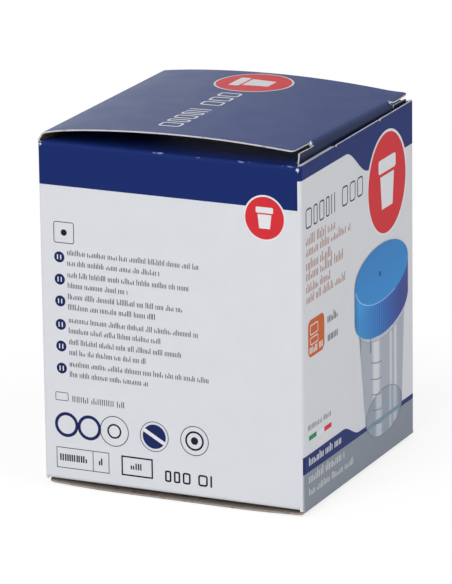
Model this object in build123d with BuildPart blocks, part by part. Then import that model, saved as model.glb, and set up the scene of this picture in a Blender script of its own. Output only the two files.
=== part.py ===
# A folding carton with a screw-capped specimen container standing inside it.
# One folded sheet makes the walls and dust flaps; a tuck flap closes the top and another the bottom.
# Millimetres, +Z up, front panel facing -Y, origin on the floor under the middle of the carton.
from build123d import *
from math import atan2, cos, radians, sin, sqrt, tan
import os

os.makedirs("parts", exist_ok=True)

# Specimen cup, which the carton is made to fit
cup_height = 72.6
cup_foot_radius = 24.8
cup_mouth_radius = 26.4
cup_wall = 1.0
cup_floor = 1.4
cup_recess = 0.9             # underside raised inside the foot ring
cup_foot_ring = 2.2
cup_foot_bevel = 0.8
neck_length = 13.5
neck_setback = 0.7
bead_depth = 0.6             # single raised bead that stands for the thread's crest
bead_height = 1.4
bead_below_mouth = 3.4

# Screw cap
cap_height = 16.0
cap_wall = 1.2
cap_top = 1.6
cap_edge_radius = 1.4
cap_thread_room = 0.8        # between the bead and the skirt
cap_seat_gap = 0.1           # over the cup's rim
rib_radius = 0.38            # half width of a rib, and its height
rib_count = 64
rib_margin = 1.5             # plain band below the ribs
dish_margin = 5.3            # flat rim around the dished top
dish_depth = 0.35
gate_radius = 1.5
gate_depth = 0.7
seal_depth = 1.8             # ring that enters the mouth
seal_width = 0.7
seal_clearance = 0.25

# Room for the container, cap included, inside the carton
side_room = 3.17
front_room = 3.6             # wider, because the lid's tuck passes here
rear_room = 2.34
head_room = 4.6              # from the cap's top to the front panel's cut top edge
cup_rest_gap = 0.05          # over the bottom dust flaps

# Carton walls
board = 0.45                 # thickness of the sheet
corner_radius = 0.9          # outside of the four upright folds
glue_flap_width = 18.9       # second layer inside the front panel, beside the left corner
glue_flap_inset = 0.3        # its cut ends below the front panel's top edge
glue_flap_bevel = 3.0
nick_spacing = 25.0          # two small nicks in the front panel's top edge
nick_width = 0.9
nick_depth = 0.5

# Dust flaps, folded in from the side panels
flap_length = 26.0
flap_fold_radius = 1.1       # outside of the fold
flap_fold_inset = 1.3        # the fold stops this short of each corner
flap_shoulder = 2.6          # setback of the flap's sides from the front and rear panels
flap_taper = 2.2             # further setback at the tip
flap_droop = 3.0             # degrees by which the top flaps sink towards the middle
bottom_flap_rise = 0.6       # side panels' bottom folds above the front panel's bottom fold

# Top and bottom closures: panel, ears beside two slits, and tuck
closure_inset = 0.5          # panel's cut sides, in from the side panels' faces
tuck_inset = 1.5             # tuck's sides, in from the panel's sides
tuck_depth = 13.0
tuck_corner = 6.0
tuck_clearance = 0.2         # between the tuck's path and what it slides behind
bend_radius = 1.9            # outside of the bend between panel and tuck
slit_length = 7.3
ear_reach = 1.1              # ears, from the start of the bend
shoulder_drop = 0.75         # cut top of the tuck's shoulders, below the bend's sharp corner
hinge_gap = 0.1              # between a closure's root and the wall's cut edge
knee_radius = 1.2
belly_share = 0.88           # share of a straight run that shallow arcs take up

# Lid heights above the front panel's top edge, as the sprung board stands in use
lid_knee_run = 1.0
lid_knee_rise = 1.4
lid_crown_rise = 4.8         # sharp corner of the two runs that the crown's arc rounds
lid_front_rise = 2.0

# Bottom panel's sag below the front panel's bottom fold
bottom_sag = 1.0
bottom_knee_run = 0.7
bottom_knee_sag = 0.5
bottom_flat_share = 0.6      # flat middle that the carton stands on
bottom_rear_sag = 0.4

# Cap and carton, worked out from the cup outwards
neck_radius = cup_mouth_radius - neck_setback
cap_inner_radius = neck_radius + bead_depth + cap_thread_room
cap_radius = cap_inner_radius + cap_wall
rib_reach = cap_radius + rib_radius
carton_width = 2 * (rib_reach + side_room + board)
carton_depth = 2 * (rib_reach + board) + front_room + rear_room
cup_shift = (front_room - rear_room) / 2
half_width = carton_width / 2
half_depth = carton_depth / 2
front_fold = bottom_sag
side_fold = front_fold + bottom_flap_rise
cup_base = side_fold + board + cup_rest_gap
cup_rim = cup_base + cup_height
cap_under = cup_rim + cap_seat_gap
cap_high = cap_under + cap_top
wall_top = cap_high + head_room
beyond = 10.0                # overshoot of cutting solids


# Heights that the closures' roots leave for the walls' cut edges
def root_room(run, rise):
    return board * cos(atan2(rise, run)) + hinge_gap


rear_top = wall_top - root_room(lid_knee_run, lid_knee_rise)
wall_foot = front_fold + root_room(bottom_knee_run, bottom_knee_sag)


# Radius of the arc that rounds a shallow corner and takes up its share of the shorter run beside it
def belly_radius(before, corner, after, corners):
    run_in, run_out = Vector(*corner) - Vector(*before), Vector(*after) - Vector(*corner)
    turn = radians(run_in.get_angle(run_out))
    return belly_share / corners * min(run_in.length, run_out.length) / tan(turn / 2)


# Dust flap at the left side: local x runs inwards from the side panel, local y out of the carton
def dust_flap(fold, droop):
    tip = flap_length * cos(radians(droop))
    with BuildPart() as flap:
        with BuildSketch(fold):
            with BuildLine():
                FilletPolyline(
                    (0, -2 * flap_fold_radius), (0, 0), (tip, -flap_length * sin(radians(droop))),
                    radius=flap_fold_radius,
                )
                offset(amount=board, side=Side.RIGHT)
            make_face()
        extrude(amount=half_depth - flap_fold_inset, both=True)
        root = -half_width + flap_fold_radius
        step = flap_shoulder - flap_fold_inset
        with BuildSketch(Plane.XY.offset(fold.origin.Z)):
            with BuildLine():
                Polyline(
                    (-half_width - board, half_depth), (root, half_depth - flap_fold_inset),
                    (root + step, half_depth - flap_shoulder),
                    (-half_width + tip, half_depth - flap_shoulder - flap_taper),
                    (-half_width + tip, -half_depth + flap_shoulder + flap_taper),
                    (root + step, -half_depth + flap_shoulder),
                    (root, -half_depth + flap_fold_inset), (-half_width - board, -half_depth),
                    close=True,
                )
            make_face()
        extrude(amount=beyond, both=True, mode=Mode.INTERSECT)
    return flap.part


top_fold_plane = Plane((-half_width, 0, wall_top), x_dir=(1, 0, 0), z_dir=(0, -1, 0))
bottom_fold_plane = Plane((-half_width, 0, side_fold), x_dir=(1, 0, 0), z_dir=(0, 1, 0))
top_flap = dust_flap(top_fold_plane, flap_droop)
bottom_flap_solid = dust_flap(bottom_fold_plane, 0)

# Carton body: walls, glue flap and dust flaps, one folded and glued sheet
with BuildPart() as carton_body:
    with BuildSketch(Plane.XY.offset(wall_foot)):
        RectangleRounded(carton_width, carton_depth, corner_radius)
        RectangleRounded(
            carton_width - 2 * board, carton_depth - 2 * board, corner_radius - board, mode=Mode.SUBTRACT
        )
    extrude(amount=wall_top - wall_foot)
    # Rear panel stops below the lid's root
    with BuildSketch(Plane.XY.offset(rear_top)):
        with Locations((0, half_depth)):
            Rectangle(carton_width, 2 * corner_radius)
    extrude(amount=beyond, mode=Mode.SUBTRACT)
    # Side panels end at their folds, with a slanted relief at each corner
    for side in (-1, 1):
        with BuildSketch(Plane.YZ.offset(side * (half_width - corner_radius))):
            for level, out in ((wall_top, 1), (side_fold, -1)):
                straight = half_depth - flap_fold_inset
                corner = half_depth - board
                fold_end = level - out * flap_fold_radius
                with BuildLine():
                    Polyline(
                        (-corner, level + out * beyond), (-corner, level), (-straight, fold_end),
                        (straight, fold_end), (corner, level), (corner, level + out * beyond),
                        close=True,
                    )
                make_face()
        extrude(amount=side * 2 * corner_radius, mode=Mode.SUBTRACT)
    add(top_flap)
    add(bottom_flap_solid)
    add(mirror(top_flap, about=Plane.YZ))
    add(mirror(bottom_flap_solid, about=Plane.YZ))
    # Glue flap, from the left corner
    with BuildSketch(Plane.XZ.offset(half_depth - board)):
        root = -half_width + board / 2
        reach = -half_width + glue_flap_width
        low, high = wall_foot + glue_flap_inset, wall_top - glue_flap_inset
        with BuildLine():
            Polyline(
                (root, low + glue_flap_bevel / 2), (reach, low + glue_flap_bevel),
                (reach, high), (root, high), close=True,
            )
        make_face()
    extrude(amount=-board)
    # Nicks in the front panel's top edge
    with BuildSketch(Plane.XZ.offset(half_depth + board)):
        for side in (-1, 1):
            middle = side * nick_spacing / 2
            with BuildLine():
                Polyline(
                    (middle - nick_width / 2, wall_top + board), (middle - nick_width / 2, wall_top),
                    (middle, wall_top - nick_depth), (middle + nick_width / 2, wall_top),
                    (middle + nick_width / 2, wall_top + board), close=True,
                )
            make_face()
    extrude(amount=-2.5 * board, mode=Mode.SUBTRACT)
carton_body.part.label = "carton_body"
export_step(carton_body.part, "parts/carton_body.step")


# Closure: local x runs from the hinge across the carton, local y out of it.
# The tuck's outside keeps within the circle of radius swing about the hinge, so it swings clear.
def closure(hinge, knee, belly, front_rise, swing):
    tip = sqrt(swing**2 - tuck_depth**2)
    lean = (swing - tip) / tuck_depth
    front = (swing + lean * front_rise, front_rise)
    points = [(0, 0), knee, *belly, front, (tip, -tuck_depth)]
    radii = [knee_radius]
    for number in range(2, len(points) - 2):
        radii.append(belly_radius(*points[number - 1:number + 2], len(belly)))
    radii.append(bend_radius)

    # Ears carry on past the start of the bend, in the panel's direction
    panel_run = (Vector(*front) - Vector(*points[-3])).normalized()
    tuck_run = (Vector(*points[-1]) - Vector(*front)).normalized()
    tangent = bend_radius * tan(radians(panel_run.get_angle(tuck_run)) / 2)
    ear_tip = Vector(*front) + panel_run * (ear_reach - tangent)
    # The tuck's shoulders start beside the bend, and its middle where the bend has ended
    shoulder = Vector(*front) + tuck_run * shoulder_drop
    bend_end = Vector(*front) + tuck_run * (tangent + board)
    neck = (bend_end - shoulder).length
    drop = (Vector(*points[-1]) - shoulder).length
    tuck_plane = Plane(
        hinge.from_local_coords(shoulder), x_dir=(1, 0, 0),
        z_dir=hinge.x_dir * -tuck_run.Y + hinge.y_dir * tuck_run.X,
    )

    panel_half = half_width - closure_inset
    slit_half = panel_half - slit_length
    tuck_half = panel_half - tuck_inset
    with BuildPart() as sheet:
        # Between the slits, the panel and the bend are one strip
        with BuildSketch(hinge):
            with BuildLine():
                FilletPolyline(*points[:-1], (bend_end.X, bend_end.Y), radius=radii)
                offset(amount=board, side=Side.RIGHT)
            make_face()
        extrude(amount=slit_half, both=True)
        # Beside each slit the panel ends as an ear
        for side in (-1, 1):
            with BuildSketch(hinge.offset(side * slit_half)):
                with BuildLine():
                    FilletPolyline(*points[:-2], (ear_tip.X, ear_tip.Y), radius=radii[:-1])
                    offset(amount=board, side=Side.RIGHT)
                make_face()
            extrude(amount=side * slit_length)
        # Tuck, with a shoulder at each end of the bend and round corners at its tip
        with BuildSketch(tuck_plane) as outline:
            with BuildLine():
                Polyline(
                    (-tuck_half, 0), (-slit_half, 0), (-slit_half, -neck), (slit_half, -neck),
                    (slit_half, 0), (tuck_half, 0), (tuck_half, -drop), (-tuck_half, -drop), close=True,
                )
            make_face()
            fillet(outline.vertices().group_by(Axis.Y)[0], tuck_corner)
        extrude(amount=-board)
    return sheet.part


# Lid, hinged at the rear panel's top
lid_hinge = Plane((0, half_depth, wall_top), x_dir=(0, -1, 0), z_dir=(-1, 0, 0))
lid_swing = carton_depth - 2 * board - tuck_clearance
lid_belly = [(half_depth, lid_crown_rise)]
lid_sheet = closure(lid_hinge, (lid_knee_run, lid_knee_rise), lid_belly, lid_front_rise, lid_swing)
with BuildPart() as lid:
    add(lid_sheet)
lid.part.label = "lid"
export_step(lid.part, "parts/lid.step")

# Bottom flap, hinged at the front panel's bottom and tucked in behind the rear panel
bottom_hinge = Plane((0, -half_depth, front_fold), x_dir=(0, 1, 0), z_dir=(-1, 0, 0))
bottom_swing = carton_depth - board - tuck_clearance
flat_half = half_depth * bottom_flat_share
bottom_belly = [(half_depth - flat_half, bottom_sag), (half_depth + flat_half, bottom_sag)]
bottom_sheet = closure(
    bottom_hinge, (bottom_knee_run, bottom_knee_sag), bottom_belly, bottom_rear_sag, bottom_swing
)
with BuildPart() as bottom_flap:
    add(bottom_sheet)
bottom_flap.part.label = "bottom_flap"
export_step(bottom_flap.part, "parts/bottom_flap.step")

# Specimen cup: a moulded, slightly tapered cup with a foot ring and a thread bead on its neck
neck_foot = cup_rim - neck_length
floor_top = cup_base + cup_recess + cup_floor
cup_axis = Axis((0, cup_shift, 0), (0, 0, 1))
with BuildPart() as cup:
    with BuildSketch(Plane.XZ.offset(-cup_shift)):
        with BuildLine():
            Polyline(
                (0, cup_base + cup_recess), (cup_foot_radius - cup_foot_ring, cup_base + cup_recess),
                (cup_foot_radius - cup_foot_ring + cup_recess, cup_base),
                (cup_foot_radius - cup_foot_bevel, cup_base), (cup_foot_radius, cup_base + cup_foot_bevel),
                (cup_mouth_radius, neck_foot), (neck_radius, neck_foot + neck_setback),
                (neck_radius, cup_rim), (neck_radius - cup_wall, cup_rim),
                (neck_radius - cup_wall, neck_foot), (cup_mouth_radius - cup_wall, neck_foot - cup_wall),
                (cup_foot_radius - cup_wall, floor_top), (0, floor_top), close=True,
            )
        make_face()
    revolve(axis=cup_axis)
    bead_top = cup_rim - bead_below_mouth
    with BuildSketch(Plane.XZ.offset(-cup_shift)):
        with BuildLine():
            Polyline(
                (neck_radius - cup_wall / 2, bead_top), (neck_radius, bead_top),
                (neck_radius + bead_depth, bead_top - bead_height / 2),
                (neck_radius, bead_top - bead_height), (neck_radius - cup_wall / 2, bead_top - bead_height),
                close=True,
            )
        make_face()
    revolve(axis=cup_axis)
cup.part.label = "cup"
export_step(cup.part, "parts/cup.step")

# Screw cap: ribbed skirt, dished top with a gate mark, and a ring that seals in the mouth
cap_low = cap_high - cap_height
seal_radius = neck_radius - cup_wall - seal_clearance
rib_length = cap_height - rib_margin - cap_edge_radius
with BuildPart() as screw_cap:
    with BuildSketch(Plane.XY.offset(cap_low)):
        with Locations((0, cup_shift)):
            Circle(cap_radius)
    extrude(amount=cap_height)
    fillet(screw_cap.edges().sort_by(Axis.Z)[-1], cap_edge_radius)
    with BuildSketch(Plane.XY.offset(cap_low)):
        with Locations((0, cup_shift)):
            Circle(cap_inner_radius)
    extrude(amount=cap_height - cap_top, mode=Mode.SUBTRACT)
    with BuildSketch(Plane.XY.offset(cap_under)):
        with Locations((0, cup_shift)):
            Circle(seal_radius)
            Circle(seal_radius - seal_width, mode=Mode.SUBTRACT)
    extrude(amount=-seal_depth)
    with BuildSketch(Plane.XY.offset(cap_high)):
        with Locations((0, cup_shift)):
            Circle(cap_radius - dish_margin)
    extrude(amount=-dish_depth, mode=Mode.SUBTRACT)
    with BuildSketch(Plane.XY.offset(cap_high - dish_depth)):
        with Locations((0, cup_shift)):
            Circle(gate_radius)
    extrude(amount=-gate_depth, taper=20, mode=Mode.SUBTRACT)
    # Ribs, six-sided in section, with two faces buried in the skirt
    with BuildSketch(Plane.XY.offset(cap_low + rib_margin)):
        with Locations((0, cup_shift)):
            with PolarLocations(cap_radius, rib_count):
                RegularPolygon(rib_radius, 6)
    extrude(amount=rib_length)
screw_cap.part.label = "screw_cap"
export_step(screw_cap.part, "parts/screw_cap.step")
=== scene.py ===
# %% [markdown]
# # A small folding carton for a specimen container
#
# The object is a tuck-end carton of coated board, printed in navy, white and red. Its lid is
# only tucked in, and the springy board holds it a few millimetres open. A clear cup with a
# ribbed screw cap stands inside.
#
# This notebook dresses the part's own model, which comes in as a fixed frame: the cup and its
# cap keep their solids and get plastics, and the three pieces of board are drawn again as
# bent sheets, so that each has a printed face, a bare inner face and a pale cut edge.

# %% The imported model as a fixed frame
import math

import bmesh
import bpy
import numpy as np
from mathutils import Matrix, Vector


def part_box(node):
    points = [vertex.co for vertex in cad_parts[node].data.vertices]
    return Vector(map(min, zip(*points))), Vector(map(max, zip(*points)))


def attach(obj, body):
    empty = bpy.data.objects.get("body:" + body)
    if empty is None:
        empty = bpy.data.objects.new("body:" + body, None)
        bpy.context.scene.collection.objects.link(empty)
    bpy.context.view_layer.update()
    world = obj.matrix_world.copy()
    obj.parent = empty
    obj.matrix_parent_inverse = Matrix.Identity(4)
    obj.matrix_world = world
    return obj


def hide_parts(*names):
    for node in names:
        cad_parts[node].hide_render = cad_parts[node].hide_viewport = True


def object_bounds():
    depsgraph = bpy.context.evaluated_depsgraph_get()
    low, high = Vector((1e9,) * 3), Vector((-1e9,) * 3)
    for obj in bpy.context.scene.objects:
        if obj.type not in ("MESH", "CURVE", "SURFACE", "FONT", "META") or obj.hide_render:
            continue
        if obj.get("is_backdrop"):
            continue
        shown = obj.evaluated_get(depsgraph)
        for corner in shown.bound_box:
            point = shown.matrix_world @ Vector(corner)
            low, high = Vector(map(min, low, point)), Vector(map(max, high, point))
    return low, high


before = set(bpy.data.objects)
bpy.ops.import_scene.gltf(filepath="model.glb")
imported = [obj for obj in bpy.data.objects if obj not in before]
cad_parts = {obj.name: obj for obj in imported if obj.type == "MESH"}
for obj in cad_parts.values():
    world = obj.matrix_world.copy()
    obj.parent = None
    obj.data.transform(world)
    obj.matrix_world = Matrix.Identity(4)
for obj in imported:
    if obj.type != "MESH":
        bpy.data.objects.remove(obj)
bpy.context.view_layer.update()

print("solids of the frame:", ", ".join(sorted(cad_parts)))

# %% [markdown]
# ## Sizes of the carton
#
# A carton is cut to fit what it holds, so its sizes are simple numbers: the width and depth of
# its walls, the height of their cut edge, and the thickness of the board. The walls' sizes are
# read from the frame. The folds, slits and tuck repeat the values that the solids have, so
# that the sheets lie exactly where the solids lie.

# %% Sizes in millimetres
MM = 0.001
wall_low, wall_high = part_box("carton_body")
width = round((wall_high.x - wall_low.x) / MM, 2)
depth = round((wall_high.y - wall_low.y) / MM, 2)
wall_top = round(wall_high.z / MM, 2)
wall_foot = round(wall_low.z / MM, 2)
board = 0.45
corner_radius = 0.9
half_width, half_depth = width / 2, depth / 2
print(f"carton {width} x {depth} mm, front panel's cut edge at {wall_top} mm")

# %% [markdown]
# ## Paths and sheets
#
# Folded board is flat between its creases, and at a crease it turns on a small radius. So
# every bent sheet here starts as a path of straight runs with a tangent arc at each corner,
# and the sheet is that path carried sideways. A point of the sheet then needs two numbers, the
# distance along the path and the distance across it, which are also the natural coordinates
# for its print.

# %% Paths with rounded corners
def rounded_path(points, radii, arc_steps=12):
    """Straight runs joined by tangent arcs.

    An arc of radius r that turns by the angle a starts r * tan(a / 2) before its corner.
    Its centre is r to the inside, and each of its points is the centre minus r times the
    direction that faces left of travel there. Left of travel is the printed side.
    Returns the points, the printed side's directions and the distances travelled.
    """
    points = np.asarray(points, float)
    runs = np.diff(points, axis=0)
    headings = np.arctan2(runs[:, 1], runs[:, 0])
    turns = (np.diff(headings) + np.pi) % (2 * np.pi) - np.pi

    def leftwards(angle):
        return np.stack([-np.sin(angle), np.cos(angle)], axis=-1)

    line, facing = [points[:1]], [leftwards(headings[:1])]
    for corner, heading, turn, radius in zip(points[1:-1], headings, turns, radii):
        travel = np.array([math.cos(heading), math.sin(heading)])
        start = corner - travel * radius * math.tan(abs(turn) / 2)
        inside = leftwards(heading) * math.copysign(radius, turn)
        directions = leftwards(heading + np.linspace(0, turn, arc_steps + 1))
        line.append(start + inside - math.copysign(radius, turn) * directions)
        facing.append(directions)
    line.append(points[-1:])
    facing.append(leftwards(headings[-1:]))
    line, facing = np.concatenate(line), np.concatenate(facing)
    travelled = np.r_[0, np.cumsum(np.linalg.norm(np.diff(line, axis=0), axis=1))]
    return line, facing, travelled


def along(path, distance):
    """Position and printed side's direction at distances along a path, straight between its points."""
    line, facing, travelled = path
    place = np.stack([np.interp(distance, travelled, line[:, k]) for k in (0, 1)], axis=-1)
    side = np.stack([np.interp(distance, travelled, facing[:, k]) for k in (0, 1)], axis=-1)
    return place, side / np.linalg.norm(side, axis=-1, keepdims=True)


def spaced(*stops, step):
    """Values from the first stop to the last, through each stop and at most a step apart."""
    parts = [
        np.linspace(a, b, max(1, math.ceil(abs(b - a) / step)) + 1)[:-1]
        for a, b in zip(stops, stops[1:])
    ]
    return np.concatenate([*parts, stops[-1:]])


# %% [markdown]
# ### From grids to pieces
#
# numpy works out each surface as a grid of points with the direction in which its printed side
# faces. One helper winds the grid's quads so that they face that way. Another puts several
# such surfaces in one mesh, merges the points that they share, and lets the Solidify modifier
# grow the board's thickness inwards: it gives the inner face and the cut edge their own
# materials. Edges are then marked sharp by angle, because real board is cut square.

# %% Grids and meshes
def surface(points, outward, lift=0.0):
    """One grid as points and quads, moved outwards by the lift, and wound to face outwards.

    The normal of a quad is the step along the rows crossed with the step along the columns.
    """
    points = points + outward * lift
    rows, columns = points.shape[:2]
    number = np.arange(rows * columns).reshape(rows, columns)
    quads = np.stack([number[:-1, :-1], number[1:, :-1], number[1:, 1:], number[:-1, 1:]], axis=-1)
    down = points[1:, :-1] - points[:-1, :-1]
    across = points[:-1, 1:] - points[:-1, :-1]
    if (np.cross(down, across) * outward[:-1, :-1]).sum() < 0:
        quads = quads[..., ::-1]
    return points.reshape(-1, 3), quads.reshape(-1, 4)


def mesh_of(name, surfaces, merge=1e-6):
    """One mesh from several surfaces in millimetres, with the points that they share merged."""
    counts = np.cumsum([0] + [len(points) for points, _ in surfaces])
    points = np.concatenate([points for points, _ in surfaces]) * MM
    quads = np.concatenate([quads + start for (_, quads), start in zip(surfaces, counts)])
    mesh = bpy.data.meshes.new(name)
    mesh.from_pydata(points.tolist(), [], quads.tolist())
    work = bmesh.new()
    work.from_mesh(mesh)
    bmesh.ops.remove_doubles(work, verts=work.verts, dist=merge)
    work.to_mesh(mesh)
    work.free()
    mesh.polygons.foreach_set("use_smooth", np.ones(len(mesh.polygons), bool))
    return mesh


def finished(piece, sharp_degrees=35):
    """Applies the piece's modifiers and marks the edges that turn by more than the angle sharp."""
    bpy.context.view_layer.update()
    evaluated = piece.evaluated_get(bpy.context.evaluated_depsgraph_get())
    mesh = bpy.data.meshes.new_from_object(evaluated)
    mesh.name = piece.name
    piece.modifiers.clear()
    piece.data = mesh
    mesh.set_sharp_from_angle(angle=math.radians(sharp_degrees))
    return piece


def board_piece(name, body, surfaces, materials, thickness=board, inner=1, rim=2, even=True):
    """A sheet of board: printed faces outside, the thickness grown inwards, a cut edge round it.

    Even thickness keeps a folded sheet as thick at its creases. A film of ink has none, and
    its narrow quads would grow spikes.
    """
    piece = bpy.data.objects.new(name, mesh_of(name, surfaces))
    bpy.context.scene.collection.objects.link(piece)
    for material in materials:
        piece.data.materials.append(material)
    wall = piece.modifiers.new("board", "SOLIDIFY")
    wall.thickness, wall.offset = thickness * MM, -1
    wall.use_even_offset = even
    wall.material_offset, wall.material_offset_rim = inner, rim
    finished(piece)
    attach(piece, body)
    print(f"{name}: {len(piece.data.polygons)} faces")
    return piece


# %% [markdown]
# ## Materials
#
# Every colour is written as the sRGB hex value that the eye sees and turned to linear light by
# one function. One more function adds a node with its settings and links, so each material
# reads as a short recipe.

# %% Colours, nodes and ramps
def colour(code):
    """sRGB hex to linear RGBA: (c / 12.92) near black, else ((c + 0.055) / 1.055) ** 2.4."""
    parts = np.array([int(code[k:k + 2], 16) for k in (1, 3, 5)]) / 255
    linear = np.where(parts <= 0.04045, parts / 12.92, ((parts + 0.055) / 1.055) ** 2.4)
    return (*linear.tolist(), 1.0)


def add(tree, kind, links=None, inputs=None, **settings):
    """Adds one node: its settings, its inputs' values, and links from other nodes' sockets."""
    node = tree.nodes.new("ShaderNode" + kind)
    for key, value in settings.items():
        setattr(node, key, value)
    for key, value in (inputs or {}).items():
        node.inputs[key].default_value = value
    for key, socket in (links or {}).items():
        tree.links.new(socket, node.inputs[key])
    return node


def fill_ramp(ramp, stops):
    """Gives a colour ramp its stops, each a position and a linear RGBA colour."""
    elements = ramp.color_ramp.elements
    while len(elements) < len(stops):
        elements.new(0.5)
    for element, (position, linear) in zip(elements, stops):
        element.position, element.color = position, linear


def new_material(name):
    """An empty node material, its tree and the object coordinates that its patterns read."""
    material = bpy.data.materials.new(name)
    material.use_nodes = True
    tree = material.node_tree
    tree.nodes.clear()
    return material, tree, add(tree, "TexCoord").outputs["Object"]


# %% [markdown]
# ### Coated board and its inks
#
# Carton board is pressed paper fibre with a white clay coat. It is printed by offset and then
# varnished, so the eye sees a soft gloss over very fine fibre, with faint clouds where the
# sheet is denser. Ink and bare coat share that surface, so one recipe makes both: only the
# colour changes, and the bump is read from the same object coordinates. Along folds the ink
# cracks and pale paper shows through, and the rounded fold catches light, so the recipe can
# take places along the side folds at which pale blue flecks appear: partly worn paper, partly a
# painted highlight on the fold. The real fibres are finer than the render can show, so they are
# drawn at 2.6 to the millimetre.

# %% The varnished face
FIBRES_PER_MM, CLOUDS_PER_MM, FLECKS_PER_MM = 2.6, 0.16, 1.5


def varnished(tree, place, tint, shine, roughness=None):
    """Ends a material in varnished print: a tint over a bump of paper fibres. Without a
    socket for it, the roughness is 0.5 all over."""
    fibres = add(tree, "TexNoise", {"Vector": place}, {
        "Scale": FIBRES_PER_MM / MM, "Detail": 3.0, "Roughness": 0.6,
    })
    bump = add(tree, "Bump", {"Height": fibres.outputs["Fac"]}, {"Strength": 0.16, "Distance": 0.03 * MM})
    links = {"Base Color": tint, "Normal": bump.outputs["Normal"]}
    if roughness:
        links["Roughness"] = roughness
    face = add(tree, "BsdfPrincipled", links, {"Roughness": 0.5, "IOR": 1.5, "Specular IOR Level": shine})
    add(tree, "OutputMaterial", {"Surface": face.outputs["BSDF"]})


def cracked_ink_and_sheen(tree, place, axes, tint, wear_and_sheen):
    """A tint broken by pale flecks on the side folds.

    wear_and_sheen lists (y, share): places where the flecks, partly cracked ink and partly a
    painted highlight on the fold, appear. The flecks' level is 0.36 times the share plus a noise.
    It is multiplied by three ramps, which keep it on the rounded edge: up and down again with
    the height, and up towards the side.
    """
    travel = add(tree, "MapRange", {"Value": axes.outputs["Y"]},
                 {"From Min": -half_depth * MM, "From Max": half_depth * MM})
    places = add(tree, "ValToRGB", {"Fac": travel.outputs["Result"]})
    fill_ramp(places, [((y + half_depth) / depth, (share, share, share, 1)) for y, share in wear_and_sheen])
    stretched = add(tree, "Mapping", {"Vector": place}, {"Scale": (1.0, 0.5, 1.4)})
    flecks = add(tree, "TexNoise", {"Vector": stretched.outputs["Vector"]},
                 {"Scale": FLECKS_PER_MM / MM, "Detail": 4.0, "Roughness": 0.65})
    level = add(tree, "Math", {0: places.outputs["Color"], 2: flecks.outputs["Fac"]}, {1: 0.36},
                operation="MULTIPLY_ADD")
    sideways = add(tree, "Math", {0: axes.outputs["X"]}, operation="ABSOLUTE")
    for value, low, high, start, end in (
        (axes.outputs["Z"], wall_top - 0.75, wall_top - 0.45, 0.0, 1.0),
        (axes.outputs["Z"], wall_top - 0.25, wall_top + 0.05, 1.0, 0.0),
        (sideways.outputs[0], half_width - 1.2, half_width - 0.6, 0.0, 1.0),
    ):
        share = add(tree, "MapRange", {"Value": value}, {
            "From Min": low * MM, "From Max": high * MM, "To Min": start, "To Max": end,
        }, interpolation_type="SMOOTHSTEP")
        level = add(tree, "Math", {0: level.outputs[0], 1: share.outputs["Result"]}, operation="MULTIPLY")
    cracked = add(tree, "MapRange", {"Value": level.outputs[0]}, {"From Min": 0.80, "From Max": 0.98})
    bare = add(tree, "Mix", {"Factor": cracked.outputs["Result"], 6: tint}, data_type="RGBA")
    # The flecks' pale blue stands for bare paper and for a painted highlight on the fold
    bare.inputs[7].default_value = colour("#9aa8d6")
    return bare.outputs[2]


# %% Printed board
def printed_board(name, code, gloss=0.50, cloud=0.03, shine=0.10, wear_and_sheen=None, crevice_shade=None):
    """Varnished offset print on clay-coated board.

    wear_and_sheen lists (y, share) along the side folds, where cracked ink shows pale paper and a
    painted highlight lies on the fold. crevice_shade is (low y, high y, share): below the low one,
    in the crevice at the bend, the tone is darkened to that share as painted shade.
    """
    material, tree, place = new_material(name)
    clouds = add(tree, "TexNoise", {"Vector": place}, {
        "Scale": CLOUDS_PER_MM / MM, "Detail": 4.0, "Roughness": 0.55,
    })
    base = np.array(colour(code)[:3])
    shade = add(tree, "Mix", {"Factor": clouds.outputs["Fac"]}, data_type="RGBA")
    shade.inputs[6].default_value = (*(base * (1 - cloud)), 1)
    shade.inputs[7].default_value = (*np.minimum(base * (1 + cloud) + 0.001, 1), 1)
    tint = shade.outputs[2]
    rough = add(tree, "MapRange", {"Value": clouds.outputs["Fac"]}, {
        "To Min": gloss - 0.05, "To Max": gloss + 0.05,
    })
    axes = add(tree, "SeparateXYZ", {"Vector": place})
    # Painted shade: the tone darkens towards the crevice where the tuck bends down behind the front wall
    if crevice_shade:
        low, high, share = crevice_shade
        crevice_shade_share = add(tree, "MapRange", {"Value": axes.outputs["Y"]}, {
            "From Min": low * MM, "From Max": high * MM, "To Min": share, "To Max": 1.0,
        }, interpolation_type="SMOOTHSTEP")
        shaded_tint = add(tree, "VectorMath", {0: tint, "Scale": crevice_shade_share.outputs["Result"]}, operation="SCALE")
        tint = shaded_tint.outputs[0]
    if wear_and_sheen:
        tint = cracked_ink_and_sheen(tree, place, axes, tint, wear_and_sheen)
    varnished(tree, place, tint, shine, rough.outputs["Result"])
    return material


# Pale flecks of cracked ink and painted highlight lie mostly near the front corner and about the middle: (y,
# share)
WEAR_AND_SHEEN_PLACES = [
    (-31.5, 0.75), (-29.6, 0.95), (-26.0, 0.75), (-22.0, 0.2), (-19.9, 0.7), (-17.4, 0.95), (-15.0, 0.2),
    (-8.5, 0.4), (-7.0, 0.9), (-5.4, 0.25), (0.6, 0.3), (1.6, 1.0), (3.6, 1.0), (5.0, 0.3), (22.0, 0.3),
    (24.0, 0.6), (26.0, 0.2), (31.0, 0.6),
]
white_coat = printed_board("clay_coated_board_white", "#dfe1e6", shine=0.14)
navy_ink = printed_board("navy_offset_ink_varnished", "#13296a", wear_and_sheen=WEAR_AND_SHEEN_PLACES)
# The lid's ink darkens below y = -29.4 mm as painted shade in the crevice at the front bend
navy_lid = printed_board(
    "navy_offset_ink_on_lid", "#173572", gloss=0.46, shine=0.125, crevice_shade=(-31.2, -29.4, 0.3),
)
print("inks:", [m.name for m in bpy.data.materials])
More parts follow.
